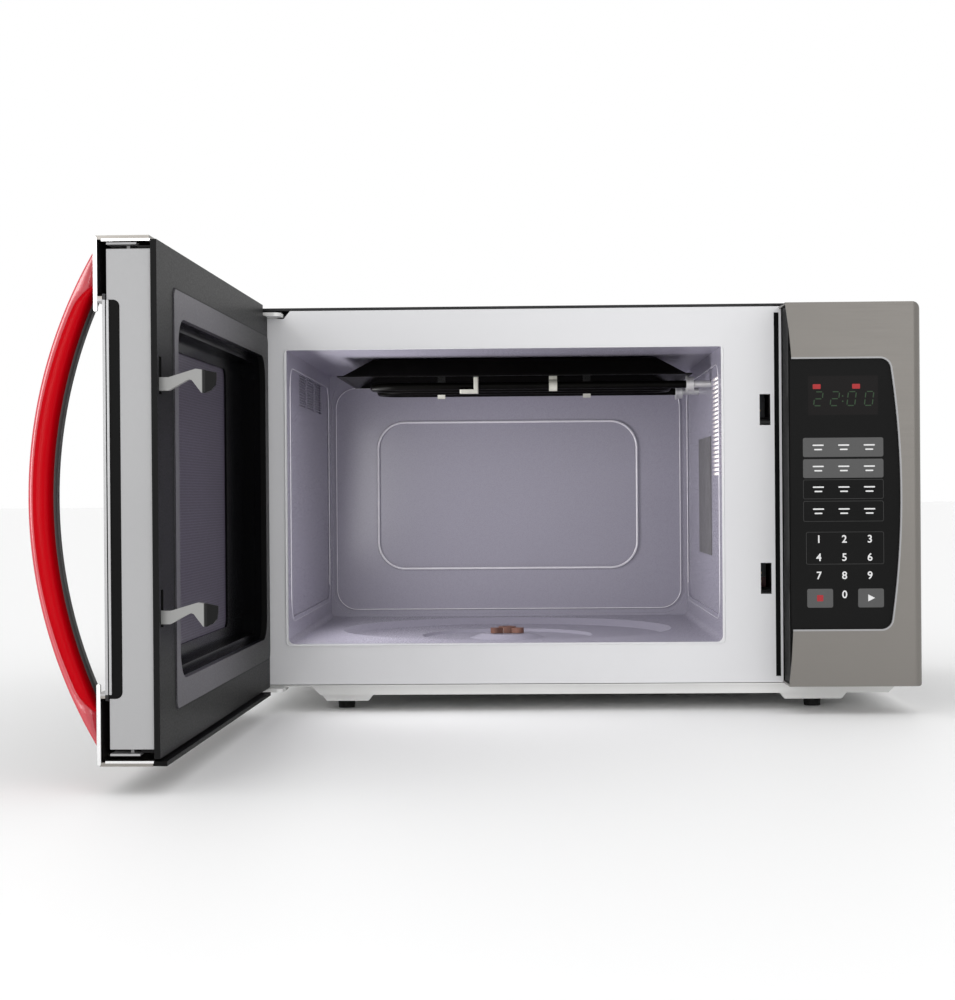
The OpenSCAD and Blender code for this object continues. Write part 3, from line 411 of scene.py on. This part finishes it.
def label(name, text, x, z, size, mat):
    """Printed characters on the keypad, centred at x, z."""
    curve = bpy.data.curves.new(name, "FONT")
    curve.body = text
    curve.size = size * MM
    curve.align_x = "CENTER"
    curve.align_y = "CENTER"
    curve.extrude = 0.04 * MM
    curve.offset = 0.13 * MM
    obj = bpy.data.objects.new(name, curve)
    bpy.context.collection.objects.link(obj)
    obj.location = at(x, KEY_FACE - 0.14, z)
    obj.rotation_euler = (math.radians(90), 0, 0)
    curve.materials.append(mat)
    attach(obj, "oven")


# ---------------------------------------------------------------- keypad print

KEY_FACE = (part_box("membrane_keypad")[0][1] - ORIGIN.y) / MM
KEY_COLUMNS = (249.5, 269.7, 289.8)
KEYS_LEFT = 237.5             # sides of the wide key fields
KEYS_RIGHT = 300.9
DIGIT_SIZE = 8.4
DIGIT_TOP = -36.6             # middle of the first row of digits
DIGIT_PITCH = 14.4
PRINT_SINK = 0.02             # how far printed pieces reach into the surface behind
FRAME_LINE = 0.35             # width of the lines round the key fields


def panel_slab(name, outline, thick, mat):
    """A flat print on the keypad."""
    slab(name, outline, KEY_FACE - thick, KEY_FACE + PRINT_SINK, at, mat, "oven")


for row, (low, high) in enumerate(((28.8, 44.0), (12.2, 27.1))):
    panel_slab(f"key_bar_{row}", rounded(KEYS_LEFT, KEYS_RIGHT, low, high, 1.5), 0.12, key_grey)
frames = [(KEYS_LEFT, -4.5, 10.9), (KEYS_LEFT, -22.4, -6.1), (KEYS_LEFT + 2, -56.3, -30.6)]
for i, (left, low, high) in enumerate(frames):
    ring(f"key_frame_{i}", rounded(left, KEYS_RIGHT, low, high, 1.5),
         rounded(left + FRAME_LINE, KEYS_RIGHT - FRAME_LINE, low + FRAME_LINE, high - FRAME_LINE, 1.2),
         KEY_FACE - 0.06, KEY_FACE + PRINT_SINK, at, key_line, "oven")
# generic marks stand where the real keys carry words: a long bar over a shorter one
for row, z in enumerate((36.4, 19.6, 3.2, -14.2)):
    for column, x in enumerate(KEY_COLUMNS):
        for line, (dz, half) in enumerate(((1.7, 4.4), (-1.7, 3.1))):
            panel_slab(f"key_mark_{row}_{column}_{line}",
                       rounded(x - half, x + half, z + dz - 0.55, z + dz + 0.55, 0.5, 3), 0.16, print_white)
for digit in range(1, 10):
    label(f"digit_{digit}", str(digit), KEY_COLUMNS[(digit - 1) % 3],
          DIGIT_TOP - DIGIT_PITCH * ((digit - 1) // 3), DIGIT_SIZE, print_white)
label("digit_0", "0", KEY_COLUMNS[1], -80.5, DIGIT_SIZE, print_white)
for name, left, right in (("stop", 240.1, 260.5), ("start", 280.3, 300.6)):
    panel_slab(f"{name}_key", rounded(left, right, -90.6, -75.7, 1.5), 0.12, key_grey)
panel_slab("stop_mark", rounded(247.8, 252.8, -85.6, -80.6, 0.6), 0.2, print_red)
panel_slab("start_mark", [(288.2, -85.9), (293.6, -83.1), (288.2, -80.3)], 0.2, print_white)

# ---------------------------------------------------------------- display

LENS_FACE = (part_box("display_window")[0][1] - ORIGIN.y) / MM
DIGIT_WIDE = 6.2
DIGIT_TALL = 11.0
DIGIT_LEAN = 1.4              # how far a digit's top stands to the right of its foot
DIGIT_FOOT = 69.4
SEGMENT_THICK = 0.04
SEGMENT_HALF = 0.4            # half of a segment's width
SEGMENT_TRIM = 0.8            # gap left at each end of a segment
for i, x in enumerate((248.7, 279.8)):
    slab(f"led_{i}", rounded(x - 3.1, x + 3.1, 82.7, 86.5, 0.6), LENS_FACE - 0.05, LENS_FACE + PRINT_SINK,
         at, led_red, "oven")
SEGMENTS = {"a": (0, 1, 1, 1), "b": (1, 1, 1, 0.5), "c": (1, 0.5, 1, 0), "d": (0, 0, 1, 0),
            "e": (0, 0.5, 0, 0), "f": (0, 1, 0, 0.5), "g": (0, 0.5, 1, 0.5)}
DIGITS = {"2": "abged", "0": "abcdef"}
for place_no, (digit, left) in enumerate(zip("2200", (246.2, 259.2, 272.4, 286.2))):
    for key in DIGITS[digit]:
        u0, v0, u1, v1 = SEGMENTS[key]
        points = []
        for u, v in ((u0, v0), (u1, v1)):
            points.append((left + u * DIGIT_WIDE + v * DIGIT_LEAN, DIGIT_FOOT + v * DIGIT_TALL))
        (xa, za), (xb, zb) = points
        length = math.hypot(xb - xa, zb - za)
        ux, uz = (xb - xa) / length, (zb - za) / length
        trim, half = SEGMENT_TRIM, SEGMENT_HALF
        corners = [(xa + ux * trim - uz * half, za + uz * trim + ux * half),
                   (xb - ux * trim - uz * half, zb - uz * trim + ux * half),
                   (xb - ux * trim + uz * half, zb - uz * trim - ux * half),
                   (xa + ux * trim + uz * half, za + uz * trim - ux * half)]
        slab(f"segment_{place_no}_{key}", corners, LENS_FACE - SEGMENT_THICK, LENS_FACE + PRINT_SINK,
             at, led_green, "oven")
for i, z in enumerate((72.8, 77.0)):
    slab(f"colon_{i}", rounded(268.6, 269.7, z - 0.55, z + 0.55, 0.3, 2), LENS_FACE - SEGMENT_THICK,
         LENS_FACE + PRINT_SINK, at, led_green, "oven")

# ---------------------------------------------------------------- lamp behind the wall's slots

slab("lamp_glow", rounded(3.5, 97.5, 14.5, 99.5, 3), 181.2, 181.6, lambda a, h, b: at(h, a, b),
     lamp_white, "oven")

# ---------------------------------------------------------------- handle

HANDLE_OUT = 43.9             # the bow's outer side off the door's face, at its middle
OUTER_R = 291.4
INNER_R = 291.2
INNER_OUT = 29.4              # the strip's inner side
HANDLE_MID = DOOR_RIGHT - 20.0


def bow_height(radius, out, z):
    """How far an arc of the bow stands off the door's face at height z."""
    return max(0.0, math.sqrt(radius ** 2 - z ** 2) - radius + out)


def sweep(name, half_length, section, steps, mat):
    """A bow swept over z: section(z) gives points (across, off the face) round the grip."""
    rings = []
    for i in range(steps + 1):
        z = half_length * math.sin(math.pi * (i / steps - 0.5))
        rings.append([on_door(HANDLE_MID + a, DOOR_THICK + h, z) for a, h in section(z)])
    count = len(rings[0])
    points = [p for line in rings for p in line]
    faces = [list(range(count)), list(range(len(points) - count, len(points)))[::-1]]
    for i in range(steps):
        for j in range(count):
            k = (j + 1) % count
            faces.append([i * count + j, i * count + k, (i + 1) * count + k, (i + 1) * count + j])
    obj = piece(name, points, faces, mat, "door", smooth=True)
    fix_normals(obj)
    return obj


SKIN_HALF = 9.2
TUBE_HALF = 10.8
SQUARE = 0.7                  # below 1 squares the grip's oval
SHOULDER = (115.0, 128.3)     # heights between which the tube runs into the door


def outer_height(z):
    return bow_height(OUTER_R, HANDLE_OUT, z)


def inner_height(z):
    return bow_height(INNER_R, INNER_OUT, z)


def dome(z):
    """1 along the grip, falling to 0 where its round end meets the door."""
    over = max(0.0, (abs(z) - SHOULDER[0]) / (SHOULDER[1] - SHOULDER[0]))
    return math.sqrt(max(0.0, 1 - min(1.0, over) ** 2))


def tube_back(z):
    """How far the back of the grip stands off the door's face."""
    return max(1.0, (outer_height(z) - 0.9 - 2.3 * (z / SHOULDER[1]) ** 2) * dome(z))


def skin_section(z):
    """The flat-sided back of the bow, which ends as a wedge on the door's steel."""
    top = outer_height(z)
    low = tube_back(z) - 3.0 if abs(z) < SHOULDER[1] else 0.0
    low = max(0.0, min(low, top - 1.0))
    r = min(1.6, (top - low) / 2)
    points = []
    for a, h, start in ((SKIN_HALF - r, top - r, 0), (r - SKIN_HALF, top - r, 90)):
        for i in range(5):
            angle = math.radians(start + 22.5 * i)
            points.append((a + r * math.cos(angle), h + r * math.sin(angle)))
    return points + [(-SKIN_HALF, low), (SKIN_HALF, low)]


def tube_section(z):
    """The rounded grip under the skin; its ends are domed where they meet the door."""
    top = tube_back(z)
    low = min(inner_height(z) + 0.4, top - 1.0)
    middle, half = (top + low) / 2, (top - low) / 2
    wide = TUBE_HALF * (0.88 + 0.12 * dome(z))
    points = []
    for i in range(36):
        angle = math.radians(10 * i)
        c, q = math.cos(angle), math.sin(angle)
        across = wide * math.copysign(abs(c) ** SQUARE, c)
        points.append((across, middle + half * math.copysign(abs(q) ** SQUARE, q)))
    return points


def liner_section(z):
    """The grey strip along the inside of the grip, on the side away from the door's free edge."""
    low = inner_height(z)
    return [(3.0, low), (3.4, low + 2.4), (-9.6, low + 2.4), (-9.2, low)]


# the skin carries painted sheen in its paler red
skin = sweep("handle_skin", 150.5, skin_section, 96, red_gloss)
sweep("handle_tube", SHOULDER[1], tube_section, 96, red_grip)
liner = sweep("handle_strip", 127.0, liner_section, 64, handle_grey)
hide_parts("handle_grip")
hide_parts("handle_liner")

# ---------------------------------------------------------------- trims of the door's free edge

def door_slab(name, outline, low, high, mat, edge=0.0):
    """An outline of (depth, height) points on the door, made solid between two widths."""
    slab(name, outline, low, high, lambda a, h, b: on_door(h, a, b), mat, "door", edge=edge)


LIP_END = 111.3               # lower end of the upper lip
SEAL_X = (-199, 172.6)        # sides of the line round the door's seal
SEAL_Z = 130.8
for tag, low, high in (("top", LIP_END, 156.2), ("bottom", -158.3, 2.0 - LIP_END)):
    door_slab(f"lip_{tag}", rounded(36.0, 38.6, low, high, 1.25), DOOR_RIGHT - 1.5, DOOR_RIGHT + 0.4,
              bright, edge=0.3)
for tag, low, high in (("top", 153.0, 154.4), ("bottom", -156.6, -155.2)):
    door_slab(f"flange_{tag}", [(4.5, low), (33.5, low), (33.5, high), (4.5, high)], DOOR_RIGHT - 1.0,
              DOOR_RIGHT + 0.2, bright)
for tag, near, far in (("glass", 31.6, 33.3), ("carrier", 29.5, 30.9)):
    door_slab(f"edge_{tag}", rounded(near, far, -116.0, 118.3, 0.3, 2), DOOR_RIGHT - 1.6, DOOR_RIGHT - 0.2,
              satin)

# ---------------------------------------------------------------- embossed lines of the cavity, in painted highlight


def bead(name, outline, radius, place, mat):
    """A thin round bead along a closed outline; place(a, b) gives the point."""
    curve = bpy.data.curves.new(name, "CURVE")
    curve.dimensions = "3D"
    curve.bevel_depth = radius * MM
    curve.bevel_resolution = 3
    spline = curve.splines.new("POLY")
    spline.points.add(len(outline) - 1)
    for point, (a, b) in zip(spline.points, outline):
        point.co = (*place(a, b), 1)
    spline.use_cyclic_u = True
    obj = bpy.data.objects.new(name, curve)
    bpy.context.collection.objects.link(obj)
    curve.materials.append(mat)
    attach(obj, "oven")


# beads on the embossed edges: partly real relief, partly painted highlight in a pale enamel
bead("back_bead", rounded(-129.5, 128.5, -72.5, 73.5, 26.5, 12), 1.2, lambda a, b: at(a, 351.3, b),
     lilac_painted_highlight)
bead("back_edge", rounded(-171.5, 171.5, -113, 108, 20, 10), 0.5, lambda a, b: at(a, 351.7, b),
     lilac_painted_highlight)
for tag, x in (("left", -177.3), ("right", 177.3)):
    bead(f"{tag}_bead", rounded(24, 334, -104, 108, 20, 10), 0.5, lambda a, b, x=x: at(x, a, b),
         lilac_painted_highlight)
ring("seal_line", rounded(SEAL_X[0], SEAL_X[1], -SEAL_Z, SEAL_Z, 7, 6),
     rounded(SEAL_X[0] + 1, SEAL_X[1] - 1, 1 - SEAL_Z, SEAL_Z - 1, 6, 6), -0.05, 0.3,
     on_door, black_plastic, "door")
bead("mouth_edge", rounded(-178.6, 178.6, -121.2, 120.4, 3, 4), 0.5, lambda a, b: at(a, -0.1, b),
     white_enamel)
slab("left_vent_baffle", rounded(94, 292, 74, 114, 4), -183.4, -182.4, lambda a, h, b: at(h, a, b),
     lilac_enamel, "oven")

# ---------------------------------------------------------------- stage, light and camera


def material_plain(name, colour, roughness):
    """A finish with one colour and no pattern."""
    mat = bpy.data.materials.new(name)
    mat.use_nodes = True
    shader = mat.node_tree.nodes["Principled BSDF"]
    shader.inputs["Base Color"].default_value = (*colour, 1)
    shader.inputs["Roughness"].default_value = roughness
    return mat


def area_light(name, place, target, width, height, power):
    """A white rectangle of light at place, turned to target; the camera doesn't see it."""
    data = bpy.data.lights.new(name, "AREA")
    data.shape = "RECTANGLE"
    data.size = width
    data.size_y = height
    data.energy = power
    obj = bpy.data.objects.new(name, data)
    bpy.context.collection.objects.link(obj)
    obj.location = place
    obj.rotation_euler = (Vector(target) - Vector(place)).to_track_quat("-Z", "Y").to_euler()
    obj.visible_camera = False


FLOOR = 30.0                  # half of the floor's width, in metres
floor_mesh = bpy.data.meshes.new("floor")
floor_mesh.from_pydata([(-FLOOR, -FLOOR, 0), (FLOOR, -FLOOR, 0), (FLOOR, FLOOR, 0), (-FLOOR, FLOOR, 0)],
                       [], [[0, 1, 2, 3]])
floor_mesh.materials.append(material_plain("floor", (0.93, 0.93, 0.93), 0.6))
floor = bpy.data.objects.new("floor", floor_mesh)
bpy.context.collection.objects.link(floor)

world = bpy.data.worlds.new("studio")
bpy.context.scene.world = world
world.use_nodes = True
world.node_tree.nodes["Background"].inputs["Color"].default_value = (1, 1, 1, 1)
world.node_tree.nodes["Background"].inputs["Strength"].default_value = 1.0

area_light("key", (-1.15, -2.2, 0.5), at(180, 150, 0), 0.8, 0.8, 8)
area_light("fill", (0.9, -2.1, 0.6), at(150, 0, 0), 1.0, 1.0, 2.8)
area_light("side", (-0.72, -1.8, 0.4), at(-230, -420, 60), 0.7, 0.8, 2.5)
area_light("inside", at(-168, 70, 5), at(170, 70, -20), 0.2, 0.14, 0.75)

# the camera, nearly level and nearly square to the oven's front
PAN = math.radians(1.45)
TILT = math.radians(-0.17)
ROLL = math.radians(-0.44)
SENSOR = 36
LENS = 68.75
CAMERA_PLACE = at(17.7, -1556.1, 1.3)
turn = Matrix.Rotation(PAN, 3, "Z") @ Matrix.Rotation(TILT, 3, "X")
right, forward, up = turn @ Vector((1, 0, 0)), turn @ Vector((0, 1, 0)), turn @ Vector((0, 0, 1))
side = right * math.cos(ROLL) + up * math.sin(ROLL)
over = up * math.cos(ROLL) - right * math.sin(ROLL)
camera_data = bpy.data.cameras.new("camera")
camera_data.sensor_width = SENSOR
camera_data.lens = LENS
camera = bpy.data.objects.new("camera", camera_data)
bpy.context.collection.objects.link(camera)
pose = Matrix((side, over, -forward)).transposed().to_4x4()
pose.translation = CAMERA_PLACE
camera.matrix_world = pose
bpy.context.scene.camera = camera
bpy.context.scene.view_settings.view_transform = "Standard"
